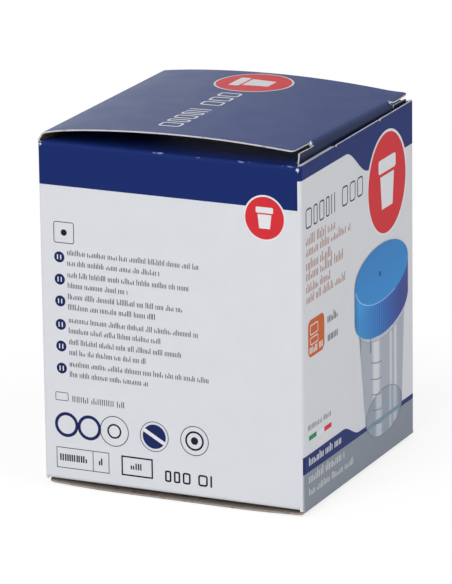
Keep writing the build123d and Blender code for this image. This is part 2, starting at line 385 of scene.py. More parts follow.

# %% [markdown]
# ### Bare board and cut edges
#
# The inside of a carton has no clay coat. It is warm grey recycled fibre with darker specks.
# Where a die cuts the sheet, the edge shows its layers: white coats outside and grey pulp
# between them. The layers are too fine for the render, so the edge gets a soft mottling along
# its length. At the foot the edge gets a darker copy of its colour, which is painted shade.

# %% Bare board
def bare_board(name, code, speck, fibres_per_mm):
    """Uncoated pulp: a matt fibre colour, broken by specks of another tone."""
    material, tree, place = new_material(name)
    fibre = add(tree, "TexNoise", {"Vector": place}, {
        "Scale": fibres_per_mm / MM, "Detail": 6.0, "Roughness": 0.7,
    })
    specks = add(tree, "TexNoise", {"Vector": place}, {"Scale": 0.45 * fibres_per_mm / MM, "Detail": 3.0})
    dots = add(tree, "MapRange", {"Value": specks.outputs["Fac"]}, {"From Min": 0.58, "From Max": 0.68})
    tone = add(tree, "Mix", {"Factor": dots.outputs["Result"]}, data_type="RGBA")
    tone.inputs[6].default_value, tone.inputs[7].default_value = colour(code), colour(speck)
    bump = add(tree, "Bump", {"Height": fibre.outputs["Fac"]}, {"Strength": 0.5, "Distance": 0.06 * MM})
    pulp = add(
        tree, "BsdfPrincipled", {"Base Color": tone.outputs[2], "Normal": bump.outputs["Normal"]},
        {"Roughness": 0.85, "IOR": 1.5, "Specular IOR Level": 0.3},
    )
    add(tree, "OutputMaterial", {"Surface": pulp.outputs["BSDF"]})
    return material


inner_board = bare_board("uncoated_recycled_board", "#93887f", "#70665e", 0.9)
cut_edge = bare_board("die_cut_board_edge", "#cfced3", "#aeabae", 1.5)
# A darker, browner copy of the cut edge for the bottom flap's edge at the foot: painted shade
edge_in_painted_shade = bare_board("die_cut_board_edge_painted_in_shade", "#a49a93", "#857b74", 1.5)
torn_paper = bare_board("torn_white_paper_fibre", "#e4e5ea", "#b9bac2", 2.4)
print("bare board:", inner_board.name, cut_edge.name, edge_in_painted_shade.name, torn_paper.name)

# %% [markdown]
# ## The walls
#
# The four walls are one sheet, folded at four upright creases. Seen from above, they follow a
# rounded rectangle, so a point of a wall needs its distance round the carton and its height.
# The path runs from the middle of the rear panel by the right panel, the front panel and the
# left panel back to the rear, which puts the printed side on the left of travel.

# %% A path round the carton
wall_path = rounded_path(
    [(0, half_depth), (half_width, half_depth), (half_width, -half_depth),
     (-half_width, -half_depth), (-half_width, half_depth), (0, half_depth)],
    [corner_radius] * 4, arc_steps=8,
)
around = wall_path[2][-1]
quarter = math.pi / 2 * corner_radius
right_middle = (half_width - corner_radius) + quarter + (half_depth - corner_radius)
front_middle = around / 2
left_middle = around - right_middle


def wall_point(distance, height):
    """A point of the walls and its outward direction: the path gives x and y, the height gives z."""
    place, side = along(wall_path, np.mod(distance, around))
    flat = np.zeros_like(place[..., 0])
    return (np.concatenate([place, (flat + height)[..., None]], axis=-1),
            np.concatenate([side, flat[..., None]], axis=-1))


print(f"distance round the carton {around:.1f} mm")

# %% [markdown]
# ### Cut edges of the walls
#
# The front panel ends in a cut edge with two small nicks, where the sheet was held in the
# die. The side panels end at folds, from which the dust flaps go inwards, and at each corner
# a hairline cut parts the fold from the next panel, so that it can bend freely.

# %% Heights of the walls' edges
flap_fold_inset, flap_fold_radius = corner_radius + 0.05, 1.1
flap_length, flap_shoulder, flap_taper, flap_droop = 26.0, 2.6, 2.2, 3.0
front_fold, side_fold = 1.0, 1.6
nick_spacing, nick_width, nick_depth = 25.0, 0.9, 0.5
lid_knee, hinge_gap = (1.0, 1.4), 0.1
hairline_cut, flap_shoulder_run = 0.15, 1.3
fold_reach = half_depth - flap_fold_inset
relief_end = fold_reach + hairline_cut
rear_top = wall_top - board * math.cos(math.atan2(lid_knee[1], lid_knee[0])) - hinge_gap
top_fold_start = wall_top - flap_fold_radius * math.tan(math.radians(90 + flap_droop) / 2)
bottom_fold_start = side_fold + flap_fold_radius

top_stops, top_heights, foot_heights = [], [], []
for middle, front_sign in ((right_middle, 1), (left_middle, -1)):
    # front_sign is the way along the path from this panel's middle to the front panel
    top_stops += [middle + front_sign * reach for reach in (-relief_end, -fold_reach, fold_reach, relief_end)]
    top_heights += [rear_top, top_fold_start, top_fold_start, wall_top]
    foot_heights += [wall_foot, bottom_fold_start, bottom_fold_start, wall_foot]
foot_stops = list(top_stops)
for side in (-1, 1):
    middle = front_middle - side * nick_spacing / 2
    top_stops += [middle - nick_width / 2, middle, middle + nick_width / 2]
    top_heights += [wall_top, wall_top - nick_depth, wall_top]
order = np.argsort(top_stops)
top_stops, top_heights = np.array(top_stops)[order], np.array(top_heights)[order]
order = np.argsort(foot_stops)
foot_stops, foot_heights = np.array(foot_stops)[order], np.array(foot_heights)[order]


def top_edge(distance):
    """Height of the walls' upper edge: straight lines between the stops."""
    return np.interp(np.mod(distance, around), top_stops, top_heights)


def foot_edge(distance):
    """Height of the walls' lower edge: straight lines between the stops."""
    return np.interp(np.mod(distance, around), foot_stops, foot_heights)


side_columns = spaced(-fold_reach, fold_reach, step=2.5)
wall_columns = np.unique(np.round(np.concatenate([
    wall_path[2], top_stops, foot_stops, right_middle + side_columns, left_middle + side_columns,
    spaced(0, around, step=2.5),
]), 6))
print(f"{len(wall_columns)} columns of points round the walls")

# %% Walls
WALL_ROWS = 25
share = np.linspace(0, 1, WALL_ROWS)[:, None]
distance = np.broadcast_to(wall_columns, (WALL_ROWS, len(wall_columns)))
height = foot_edge(distance) * (1 - share) + top_edge(distance) * share
walls = surface(*wall_point(distance, height))
print("rows of points up the walls:", WALL_ROWS)

# %% [markdown]
# ### Dust flaps and glue flap
#
# A dust flap carries on from the side panel's print, over the fold and inwards. It is as wide
# as the panel at the fold, steps in at its shoulders and tapers to its tip, so that it can
# pass inside the lid. The glue flap is a strip of the left panel that is glued behind the
# front panel: only its double thickness at the cut edge gives it away.

# %% Flap surfaces
def dust_flap(side, fold_height, up, droop):
    """A dust flap as a grid: its path goes over the fold and inwards, and its half width follows
    the shoulder and the taper. side is -1 for the left panel, up is 1 for the top."""
    slope = math.radians(droop)
    path = rounded_path(
        [(0, -4), (0, 0), (flap_length * math.cos(slope), -flap_length * math.sin(slope))],
        [flap_fold_radius],
    )
    line, facing, travelled = (values[1:] for values in path)
    tail = spaced(travelled[-2], travelled[-1], step=2.0)[1:]
    more, more_facing = along(path, tail)
    line, facing = np.concatenate([line[:-1], more]), np.concatenate([facing[:-1], more_facing])
    reach = np.interp(
        line[:, 0], [flap_fold_radius, flap_fold_radius + flap_shoulder_run, line[-1, 0]],
        [fold_reach, half_depth - flap_shoulder, half_depth - flap_shoulder - flap_taper],
    )
    across = side_columns / fold_reach
    y = reach[:, None] * across
    x = np.broadcast_to(side * (half_width - line[:, :1]), y.shape)
    z = np.broadcast_to(fold_height + up * line[:, 1:], y.shape)
    nx = np.broadcast_to(-side * facing[:, :1], y.shape)
    nz = np.broadcast_to(up * facing[:, 1:], y.shape)
    return np.stack([x, y, z], axis=-1), np.stack([nx, np.zeros_like(y), nz], axis=-1)


top_flaps = [dust_flap(side, wall_top, 1, flap_droop) for side in (-1, 1)]
bottom_flaps = [dust_flap(side, side_fold, -1, 0.0) for side in (-1, 1)]

glue_width, glue_foot, glue_bevel, glue_gap = 18.9, 1.8, 1.5, 0.02
glue_x = spaced(-half_width + corner_radius, -half_width + glue_width, step=2.0)
glue_share = np.linspace(0, 1, 15)[:, None]
glue_low = wall_foot + glue_foot + glue_bevel * (glue_x + half_width) / glue_width
glue_z = glue_low * (1 - glue_share) + (wall_top - 0.03) * glue_share
glue_grid = np.stack([np.broadcast_to(glue_x, glue_z.shape),
                      np.full_like(glue_z, -half_depth + board + glue_gap), glue_z], axis=-1)
glue_flap = surface(glue_grid, np.broadcast_to([0.0, -1.0, 0.0], glue_grid.shape))

carton_sheet = board_piece(
    "carton_sheet", "carton",
    [walls, *[surface(*flap) for flap in top_flaps + bottom_flaps], glue_flap],
    [white_coat, inner_board, cut_edge],
)
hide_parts("carton_body")

# %% [markdown]
# ## Lid and bottom flap
#
# Both closures are the same idea: a panel hinged at one wall, a bend, and a tuck that goes
# down behind the opposite wall. Two slits at the ends of the bend free it from two flat ears.
# The board is sprung, so from the side the lid rises steeply at its hinge and then bows. The
# tuck's tip is set so that the tuck stays inside a circle about the hinge and can swing out.
# A short lip carries the print over the crease at the hinge.

# %% Sizes and bow of the closures
closure_inset, tuck_inset, tuck_depth, tuck_corner, tuck_clearance = 0.5, 1.5, 13.0, 6.0, 0.2
lip_radius, knee_radius, bend_radius = 0.3, 1.2, 1.9
shoulder_drop, belly_share, ear_corner = 0.75, 0.88, 1.3
curl_start, curl_run = 57.0, 7.0      # a free corner curls beyond this distance from the hinge
panel_half = half_width - closure_inset
tuck_half = panel_half - tuck_inset
BEND_STEPS = 16                       # quads across each rounded corner of a closure's path


def belly_radius(before, corner, after, corners):
    """Radius of the shallow arc that takes up its share of the shorter run beside its corner."""
    before, corner, after = map(np.array, (before, corner, after))
    run_in, run_out = corner - before, after - corner
    turn = abs(math.atan2(run_out[1], run_out[0]) - math.atan2(run_in[1], run_in[0]))
    shorter = min(np.linalg.norm(run_in), np.linalg.norm(run_out))
    return belly_share / corners * shorter / math.tan(turn / 2)


def sprung(x, across):
    """How far the lid springs up beside its plain bow, up to 1.1 mm more at the left front and
    0.7 mm less at the right front. Each side rises by 1 - exp(-d / 3) just beyond the hinge and
    changes slowly towards the front, and straight lines join the two sides."""
    d = np.maximum(across, 0)
    rise = 1 - np.exp(-d / 3)
    left = 0.85 * rise + 0.28 * (d / 60) ** 2
    right = 0.2 * rise - 0.85 * (d / 60) ** 1.3
    share = (x + panel_half) / (2 * panel_half)
    return left * (1 - share) + right * share


print(f"closures {2 * panel_half:.1f} mm wide, tucks {2 * tuck_half:.1f} mm")


# %% A closure on its path
class Closure:
    """A hinged panel with ears and a tuck, drawn on a path across the carton.

    The path's first number runs from the hinge across the carton and its second number points
    out of it. A point of the sheet is the hinge plus the path's point, at a width x. towards
    and up are the signs of these two directions. The path climbs the lip to the hinge, turns
    at the knee and at each corner of the belly, and ends at the tip of the tuck, on a circle
    of radius swing about the hinge. slit is the slits' length from the panel's sides, and ears
    are the reaches of the left and the right ear beyond the start of the bend.
    """

    def __init__(self, hinge_y, hinge_z, towards, up, lip, knee, belly, front_rise, swing,
                 slit=7.3, ears=(1.1, 1.1), spring=None, curl=0.0):
        self.hinge, self.towards, self.up, self.root = (hinge_y, hinge_z), towards, up, lip
        self.slit_half, self.ears, self.spring, self.curl = panel_half - slit, ears, spring, curl
        corner_start = panel_half - ear_corner
        self.ear_x = np.r_[np.linspace(self.slit_half, corner_start, 5),
                           corner_start + ear_corner * np.sin(np.linspace(0, 1.35, 7)[1:]), panel_half]
        # The tip lies on the swing circle, and the tuck leans so that all of it stays inside
        tip = math.sqrt(swing**2 - tuck_depth**2)
        lean = (swing - tip) / tuck_depth
        self.front = np.array([swing + lean * front_rise, front_rise])
        self.tip = np.array([tip, -tuck_depth])
        points = [(0, -lip), (0, 0), knee, *belly, tuple(self.front), tuple(self.tip)]
        first_belly, last_belly = 3, len(points) - 3
        bellies = [
            belly_radius(points[k - 1], points[k], points[k + 1], len(belly))
            for k in range(first_belly, last_belly + 1)
        ]
        radii = [lip_radius, knee_radius, *bellies, bend_radius]
        self.path = rounded_path(points, radii, arc_steps=BEND_STEPS)
        run = self.path[2]
        # The run ends with the bend's BEND_STEPS + 1 points and the tip
        self.bend_rows = run[-BEND_STEPS - 2:-1]
        self.bend_start, self.bend_end = self.bend_rows[0], self.bend_rows[-1]
        self.panel_run = (self.front - points[-3]) / np.linalg.norm(self.front - points[-3])
        self.tuck_run = (self.tip - self.front) / np.linalg.norm(self.tip - self.front)
        rows = np.concatenate([run[:-BEND_STEPS - 1], spaced(0, self.bend_start, step=1.6)])
        self.panel_rows = np.unique(np.round(rows[rows <= self.bend_start + 1e-9], 6))

    def place(self, line, facing, x, free=True):
        """Turns path points and widths into points of the carton.

        The spring is added to the height, and beyond the slit at the right a free corner
        also curls up, by the curl times the square of its share of the corner.
        """
        x = x + np.zeros(line.shape[:-1])
        height = line[..., 1]
        if self.spring:
            height = height + self.spring(x, line[..., 0])
        if free:
            beyond = np.clip((x - self.slit_half) / (panel_half - self.slit_half), 0, 1)
            forward = np.clip((line[..., 0] - curl_start) / curl_run, 0, 1.2)
            height = height + self.curl * (beyond * forward) ** 2
        points = np.stack([x, self.hinge[0] + self.towards * line[..., 0],
                           self.hinge[1] + self.up * height], axis=-1)
        outward = np.stack([np.zeros_like(x), self.towards * facing[..., 0],
                            self.up * facing[..., 1]], axis=-1)
        return points, outward

    def at(self, distance, x):
        """A point of the sheet at a distance from the hinge and a width x."""
        distance, x = np.broadcast_arrays(distance, x)
        return self.place(*along(self.path, distance + self.root), x)


# %% A closure as surfaces
def ear_of(form, side, reach):
    """An ear: it goes straight on from the panel, and its outer corner is an arc."""
    start, facing = along(form.path, np.array(form.bend_start))
    turn = np.sqrt(1 - np.clip((form.ear_x - panel_half + ear_corner) / ear_corner, 0, 0.985) ** 2)
    along_ear = reach * np.linspace(0, 1, 5)[:, None] * turn[None, :]
    grid = start + form.panel_run * along_ear[..., None]
    return surface(*form.place(grid, np.broadcast_to(facing, grid.shape), side * form.ear_x))


def tuck_of(form, middle):
    """The tuck's shoulders, which start a little above the end of the bend, and the tuck
    with its two tip corners as quarter circles."""
    bend_end, facing = along(form.path, np.array(form.bend_end))
    drop = np.linalg.norm(form.front - bend_end) - shoulder_drop
    parts = []
    for side in (-1, 1):
        x = side * np.linspace(form.slit_half, tuck_half, 5)
        grid = bend_end + form.tuck_run * np.linspace(-drop, 0, 4)[:, None, None]
        grid = np.broadcast_to(grid, (4, len(x), 2))
        parts.append(surface(*form.place(grid, np.broadcast_to(facing, grid.shape), x, free=False)))
    length = np.linalg.norm(form.tip - bend_end)
    straight = spaced(0, length - tuck_corner, step=1.6)
    turn = np.linspace(0, math.pi / 2, 9)[1:]
    rows = np.r_[straight, length - tuck_corner + tuck_corner * np.sin(turn)]
    reach = np.r_[np.full(len(straight), tuck_half), tuck_half - tuck_corner + tuck_corner * np.cos(turn)]
    outer = np.linspace(form.slit_half, tuck_half, 5)[1:]
    columns = np.r_[-outer[::-1], middle, outer]
    x = columns[None, :] * (reach / tuck_half)[:, None]
    grid = np.broadcast_to(bend_end + form.tuck_run * rows[:, None, None], (*x.shape, 2))
    parts.append(surface(*form.place(grid, np.broadcast_to(facing, grid.shape), x, free=False)))
    return parts


def closure_surfaces(form):
    """Panel, bend, ears, shoulders and tuck, whose shared edges have the same points."""
    middle = spaced(-form.slit_half, form.slit_half, step=1.6)
    wide = np.r_[-form.ear_x[::-1], middle[1:-1], form.ear_x]
    panel = surface(*form.at(form.panel_rows[:, None] - form.root, wide[None, :]))
    bend = surface(*form.at(form.bend_rows[:, None] - form.root, middle[None, :]))
    ears = [ear_of(form, side, reach) for side, reach in zip((-1, 1), form.ears)]
    return [panel, bend, *ears, *tuck_of(form, middle)]


# %% Lid and bottom flap
lid_form = Closure(
    half_depth, wall_top, -1, 1, lip=wall_top - rear_top, knee=lid_knee, belly=[(half_depth, 4.8)],
    front_rise=2.0, swing=depth - 2 * board - tuck_clearance, slit=8.8, ears=(0.9, 1.7),
    spring=sprung, curl=0.6,
)
flat_half = half_depth * 0.6
bottom_form = Closure(
    -half_depth, front_fold, 1, -1, lip=wall_foot - front_fold, knee=(0.7, 0.5),
    belly=[(half_depth - flat_half, 1.0), (half_depth + flat_half, 1.0)], front_rise=0.4,
    swing=depth - board - tuck_clearance, ears=(2.0, 2.0),
)
lid_sheet = board_piece(
    "lid_sheet", "lid", closure_surfaces(lid_form), [navy_lid, inner_board, cut_edge], thickness=0.33,
)
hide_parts("lid")
bottom_sheet = board_piece(
    "bottom_sheet", "bottom", closure_surfaces(bottom_form), [white_coat, inner_board, edge_in_painted_shade],
)
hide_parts("bottom_flap")

# %% [markdown]
# ### Torn fibres
#
# Where a slit ends and where folds meet at the corner, the white coat has torn and a few
# fibres stand up. Each is a narrow sliver that starts on the sheet and rises towards its tip.
# Seeded random directions and lengths keep them uneven, and the same on each run.

# %% Torn fibres
def on_lid(x, y):
    """A point of the lid from its x and its y, laid along the bow from the hinge."""
    return lid_form.at(half_depth - y, x)


def tuft(on, u, v, size, count, seed):
    """Slivers in seeded directions. Each is a straight strip of three rows from its root to its
    reach, which narrows to three tenths and rises with the square of the distance."""
    random = np.random.default_rng(seed)
    angle = random.uniform(0, 2 * np.pi, count)
    length = size * random.uniform(0.5, 1.0, count)
    half = 0.13 + 0.08 * random.random(count)
    root_u = u + 0.25 * size * random.normal(size=count)
    root_v = v + 0.2 * size * random.normal(size=count)
    steps = np.array([0.0, 0.5, 1.0])[None, :, None]
    side = np.array([-1.0, 1.0])[None, None, :]
    reach, thin = length[:, None, None] * steps, half[:, None, None] * side * (1 - 0.7 * steps)
    c, s = np.cos(angle)[:, None, None], np.sin(angle)[:, None, None]
    points, outward = on(
        root_u[:, None, None] + c * reach - s * thin, root_v[:, None, None] + s * reach + c * thin,
    )
    rise = 0.03 + 0.35 * random.uniform(0.3, 1.0, count)[:, None, None] * steps**2 + 0 * side
    return [surface(grid, out * high[..., None], lift=1.0)
            for grid, out, high in zip(points, outward, rise)]


slit_y = half_depth - (lid_form.bend_start - lid_form.root)
lid_tufts = tuft(on_lid, -lid_form.slit_half + 0.4, slit_y - 1.1, size=0.7, count=9, seed=5)
lid_tufts += tuft(on_lid, lid_form.slit_half - 0.3, slit_y - 1.1, size=0.7, count=7, seed=6)
corner_tufts = tuft(wall_point, left_middle - half_depth + 0.8, wall_top - 0.75, 0.45, 6, seed=7)
corner_tufts += tuft(wall_point, left_middle + half_depth - 0.9, wall_top - 0.9, 0.4, 4, seed=8)
for name, body, tufts in (
    ("torn_fibres_at_slits", "lid", lid_tufts), ("torn_fibres_at_corners", "carton", corner_tufts),
):
    board_piece(name, body, tufts, [torn_paper], thickness=0.05, inner=0, rim=0, even=False)

# %% [markdown]
# ## Print
#
# Offset ink is a film a few thousandths of a millimetre thick. Here each ink is a thin skin
# just above the board, drawn in the sheet's own coordinates, so it bends round the corners
# with it. The inks lie in steps of a fiftieth of a millimetre, in the order of the layers.
# The print is generic: fields of colour, discs, rings, boxes, groups of small strokes, and a
# simple drawing of a capped cup.

# %% Ink skins
STEP = 0.02


def ink_piece(name, body, surfaces, material):
    """A thin closed skin of ink: the surfaces already stand above the board by their layer."""
    return board_piece(
        name, body, surfaces, [material], thickness=0.6 * STEP, inner=0, rim=0, even=False,
    )


def on_front(x, z):
    """A point of the front panel from its x and its height."""
    return wall_point(front_middle - x, z)


def on_left(y, z):
    """A point of the left side panel from its y and its height."""
    return wall_point(left_middle + y, z)


def film(on, u, v, layer):
    """A grid of ink: the sheet's points at (u, v), raised by the layer's steps."""
    return surface(*on(u, v), lift=layer * STEP)


# %% Shapes of ink
def disc(on, u, v, radius, layer, squeeze=1.0, inner=0.0, steps=72):
    """A disc or ring: u + squeeze * r * cos(t), v + r * sin(t), for r from inner to radius."""
    r = np.linspace(inner, radius, 4)[:, None]
    t = np.linspace(0, 2 * np.pi, steps + 1)[None, :]
    return film(on, u + squeeze * r * np.cos(t), v + r * np.sin(t), layer)


def field(on, u, low, high, layer, rows=2):
    """A field between two curves: at each u, the points go from low to high."""
    share = np.linspace(0, 1, rows)[:, None]
    u = np.asarray(u, float)
    v = (low + np.zeros_like(u)) * (1 - share) + (high + np.zeros_like(u)) * share
    return film(on, np.broadcast_to(u, v.shape), v, layer)


def box(on, u0, u1, v0, v1, layer):
    """A filled upright rectangle."""
    return field(on, spaced(u0, u1, step=2.0), v0, v1, layer)


def round_box(u0, u1, v0, v1, corner, radius):
    """A closed line round a box: the centre of each corner plus radius * (cos a, sin a)."""
    turn = np.linspace(0, np.pi / 2, 8)
    angles = np.concatenate([turn + k * np.pi / 2 for k in range(4)])
    u = np.repeat([u1 - corner, u0 + corner, u0 + corner, u1 - corner], len(turn))
    v = np.repeat([v1 - corner, v1 - corner, v0 + corner, v0 + corner], len(turn))
    closed = np.r_[:len(angles), 0]
    return (u + radius * np.cos(angles))[..., closed], (v + radius * np.sin(angles))[..., closed]


def outline(on, u0, u1, v0, v1, stroke, corner, layer):
    """A rounded rectangle as a line: its corner arcs, drawn twice, a stroke apart."""
    radii = np.array([corner - stroke, corner])[:, None]
    return film(on, *round_box(u0, u1, v0, v1, corner, radii), layer)


def rounded_field(on, u0, u1, v0, v1, corner, layer):
    """A filled rounded rectangle: its outline shrunk to its middle."""
    u, v = round_box(u0, u1, v0, v1, corner, corner)
    share = np.linspace(0, 1, 4)[:, None]
    middle_u, middle_v = (u0 + u1) / 2, (v0 + v1) / 2
    return film(on, middle_u + (u - middle_u) * share, middle_v + (v - middle_v) * share, layer)


# %% Strokes and headlines
def strokes(on, u0, u1, base, size, layer, seed, weight=0.18, pitch=0.44, tall=1.4):
    """Small print: upright strokes in groups.

    Strokes stand a pitch apart, as a share of their size. Seeded draws make one in four
    taller and one in eight shorter, and leave a wider gap after each group.
    """
    random = np.random.default_rng(seed)
    sign = 1 if u1 > u0 else -1
    count = int(abs(u1 - u0) / (pitch * size))
    gaps = np.cumsum(random.integers(4, 12, count) + 1)
    slots = np.arange(count)
    slots = slots[~np.isin(slots, gaps)]
    left = u0 + sign * (slots + random.uniform(-0.08, 0.08, len(slots))) * pitch * size
    kind = random.random(len(slots))
    high = np.where(kind < 0.25, tall, np.where(kind > 0.88, 0.6, 1.0)) * size
    right = left + sign * weight * size
    corners_u = np.stack([left, left, right, right], axis=-1)
    corners_v = base + np.stack([0 * high, high, high, 0 * high], axis=-1)
    points, outward = on(corners_u, corners_v)
    points = points + outward * layer * STEP
    quads = np.arange(len(slots) * 4).reshape(-1, 4)
    turn = np.cross(points[:, 1] - points[:, 0], points[:, 3] - points[:, 0])
    if (turn * outward[:, 0]).sum() < 0:
        quads = quads[:, ::-1]
    return points.reshape(-1, 3), quads


def headline(on, start, end, low, size, shares, stroke, layer):
    """A headline of plain outlined blocks and bars that fill the line.

    The shares are the widths of the blocks, scaled so that they and the gaps between them
    reach from start to end. A share of 0 is a bar, and a share below 0 is a space.
    """
    gap = 0.2
    widths = np.array([0.12 if share == 0 else abs(share) for share in shares])
    unit = (end - start) / (widths.sum() + gap * (len(shares) - 1))
    parts, u = [], start
    for share, wide in zip(shares, widths * unit):
        if share == 0:
            parts.append(box(on, u, u + np.sign(unit) * stroke, low, low + size, layer))
        elif share > 0:
            parts.append(outline(on, min(u, u + wide), max(u, u + wide), low, low + size, stroke,
                                 0.28 * min(abs(wide), size), layer))
        u += wide + gap * unit
    return parts


# %% [markdown]
# ### Navy bands
#
# A navy band runs round the top of the carton and over the side folds on to the dust flaps.
# Its lower edge is level on three sides. On the front it starts higher, comes over a round
# hump and falls in an S to the same level. A second navy swoosh and a grey-blue field close
# the foot of the front.

# %% Bands
band_low, front_band_low = 70.9, 77.6
band_jump = left_middle - 31.3        # where the level changes, just round the left corner
hump_start, hump_end = -7.2, 5.6      # the S on the front, in x


def ess(u, start, end, before, after):
    """A smooth S from one level to another: 3 t**2 - 2 t**3 between the start and the end."""
    t = np.clip((u - start) / (end - start), 0, 1)
    return before + (after - before) * (3 * t**2 - 2 * t**3)


def band_edge(distance):
    """Lower edge of the navy band at a distance round the carton, seen from the left corner on."""
    x = front_middle - distance
    low = ess(x, hump_start, hump_end, front_band_low, band_low)
    on_front_panel = (distance < band_jump + 1e-6) & (distance > right_middle + 5)
    return np.where(on_front_panel, low, band_low)


hump_columns = front_middle - hump_start - spaced(0, hump_end - hump_start, step=0.4)
columns = np.unique(np.round(np.r_[wall_columns, hump_columns, band_jump], 6))
forward = columns[columns > band_jump - 1e-6]
backward = columns[columns < band_jump + 1e-6]
navy_walls = []
for part, low in ((forward, np.full(len(forward), band_low)), (backward, band_edge(backward))):
    share = np.linspace(0, 1, 7)[:, None]
    z = low * (1 - share) + top_edge(part) * share
    navy_walls.append(film(wall_point, np.broadcast_to(part, z.shape), z, 1))
navy_flaps = [surface(*flap, lift=STEP) for flap in top_flaps]

foot_u = spaced(-half_width + 0.3, half_width - 0.3, step=0.4)
stripe_low = 9.72 - 0.0055 * foot_u
swoosh_high = ess(foot_u, -9.5, -0.5, 14.0, stripe_low + 1.15)
navy_foot = field(on_front, foot_u, stripe_low, swoosh_high, 2)
grey_foot = field(on_front, foot_u, wall_foot + 0.02, 9.8, 1)
grey_ink = printed_board("grey_blue_offset_ink", "#8d94a0")
ink_piece("navy_ink_on_walls", "carton", [*navy_walls, *navy_flaps, navy_foot], navy_ink)
ink_piece("grey_blue_ink_on_front", "carton", [grey_foot], grey_ink)

# The grey runs on over the fold for 3 mm of the bottom flap
across = spaced(-panel_half + 0.05, panel_half - 0.05, step=2.0)
bleed = bottom_form.path[2] - bottom_form.root
bleed = np.r_[bleed[bleed < 3.0], 3.0][:, None]
bleed = surface(*bottom_form.at(bleed, across[None, :]), lift=STEP)
ink_piece("grey_blue_ink_over_foot_fold", "bottom", [bleed], grey_ink)

# %% [markdown]
# ### Discs
#
# Three red discs with a white ring lie in the navy field. Each holds a plain white drawing of
# a capped cup, built from a flat lid shape and a tapered body.

# %% Discs
red_ink = printed_board("red_offset_ink", "#d8323b")
ring_ink = printed_board("white_of_the_board_in_print", "#e8e9ec")


def cup_sign(on, u, v, size, layer, sign=1):
    """A small capped cup: a flat cap above a body whose half width shrinks towards its foot."""
    cap = rounded_field(
        on, u - 0.40 * size, u + 0.40 * size, v + 0.22 * size, v + 0.48 * size, 0.06 * size, layer,
    )
    share = np.linspace(0, 1, 5)[:, None]
    side = np.linspace(-1, 1, 5)[None, :]
    half = 0.32 * size - 0.07 * size * share
    body_u, body_v = u + half * side * sign, v + 0.16 * size - share * 0.62 * size
    return [cap, film(on, body_u, body_v + 0 * side, layer)]


left_disc, front_disc, lid_disc = (-23.4, 68.5), (16.4, 65.4), (21.1, 2.2)
rings = [disc(on_left, *left_disc, 5.25, 2, 0.96), disc(on_front, *front_disc, 12.35, 2, 0.95)]
reds = [disc(on_left, *left_disc, 4.85, 3, 0.96), disc(on_front, *front_disc, 11.75, 3, 0.93)]
signs = cup_sign(on_left, *left_disc, 5.2, 4, -1) + cup_sign(on_front, *front_disc, 12.5, 4)
lid_ring = [disc(on_lid, *lid_disc, 9.3, 1), *cup_sign(on_lid, *lid_disc, 10.0, 3)]
ink_piece("white_rings_on_walls", "carton", rings + signs, ring_ink)
ink_piece("red_discs_on_walls", "carton", reds, red_ink)
ink_piece("white_ring_on_lid", "lid", lid_ring, ring_ink)
ink_piece("red_disc_on_lid", "lid", [disc(on_lid, *lid_disc, 8.85, 2)], red_ink)

# %% [markdown]
# ### Small print on the left side
#
# Six round dots stand before pairs of lines, with a row of rings and outlined boxes below.
# On the real carton such print is a tenth of a millimetre fine and reads as grey texture from
# a step away, which groups of upright strokes give as well.

# %% Lines of small print
dark_ink = printed_board("near_black_text_ink", "#191c2b")
sign_ink = printed_board("navy_sign_ink", "#1b275c")
line_start, line_size = 25.2, 0.95
line_pairs = [   # height of the dot, ends of the upper and the lower line
    (54.3, -7.8, 2.0), (49.1, -5.5, 9.8), (44.0, -3.5, 3.2),
    (38.5, -7.3, 1.8), (33.4, -3.1, 5.6), (28.2, -9.9, 5.2),
]
dots, text, marks = [], [], []
for number, (z, first_end, second_end) in enumerate(line_pairs):
    dots.append(disc(on_left, 27.2, z, 1.28, 1, steps=36))
    marks += [box(on_left, y, y - 0.25, z - 0.55, z + 0.55, 2) for y in (27.75, 26.95)]
    text.append(strokes(on_left, line_start, first_end, z + 0.62, line_size, 1, seed=10 + number))
    text.append(strokes(on_left, line_start, second_end, z - 1.84, line_size, 1, seed=30 + number))
print(f"{len(line_pairs)} pairs of lines on the left side")

# %% Rings and boxes below the lines
plain_ring, target, halves = (14.33, 14.75), (-5.6, 14.9), (4.37, 14.7)
text += [
    outline(on_left, 25.7, 28.95, 20.5, 22.5, 0.14, 0.3, 1),
    strokes(on_left, 24.7, 11.2, 20.5, 1.4, 1, 51, 0.13, pitch=0.38, tall=1.0),
    outline(on_left, 15.75, 29.0, 4.5, 9.45, 0.16, 0.1, 1),
    box(on_left, 19.73, 19.89, 4.6, 9.4, 1),
    strokes(on_left, 28.1, 20.6, 6.25, 1.6, 1, 52, 0.22, pitch=0.36, tall=1.0),
    strokes(on_left, 18.4, 17.1, 6.25, 1.6, 1, 53, 0.22, pitch=0.36, tall=1.0),
    disc(on_left, *plain_ring, 3.6, 1, inner=3.42),
    disc(on_left, *halves, 3.55, 1, inner=3.4),
    disc(on_left, *target, 3.5, 1, inner=3.32),
    disc(on_left, *target, 2.3, 1, inner=1.85),
    disc(on_left, *target, 0.9, 1, steps=24),
    disc(on_left, *plain_ring, 1.75, 1, inner=1.35),
    outline(on_left, 4.85, 12.7, 4.6, 9.3, 0.36, 0.15, 1),
    strokes(on_left, 10.4, 7.2, 6.25, 1.5, 1, 54, 0.22, pitch=0.4, tall=1.0),
    *headline(on_left, 1.85, -9.74, 4.4, 2.7, (0.5, 0.5, 0.62, -0.2, 0.75, 0), 0.42, 1),
    outline(on_left, 23.4, 28.5, 57.6, 62.6, 0.17, 0.6, 1),
    disc(on_left, 25.95, 60.1, 0.75, 1, steps=24),
]
signs = [
    disc(on_left, 26.3, 14.9, 2.95, 1, inner=2.2),
    disc(on_left, 20.6, 14.8, 2.95, 1, inner=2.2),
    disc(on_left, *halves, 2.85, 1),
]
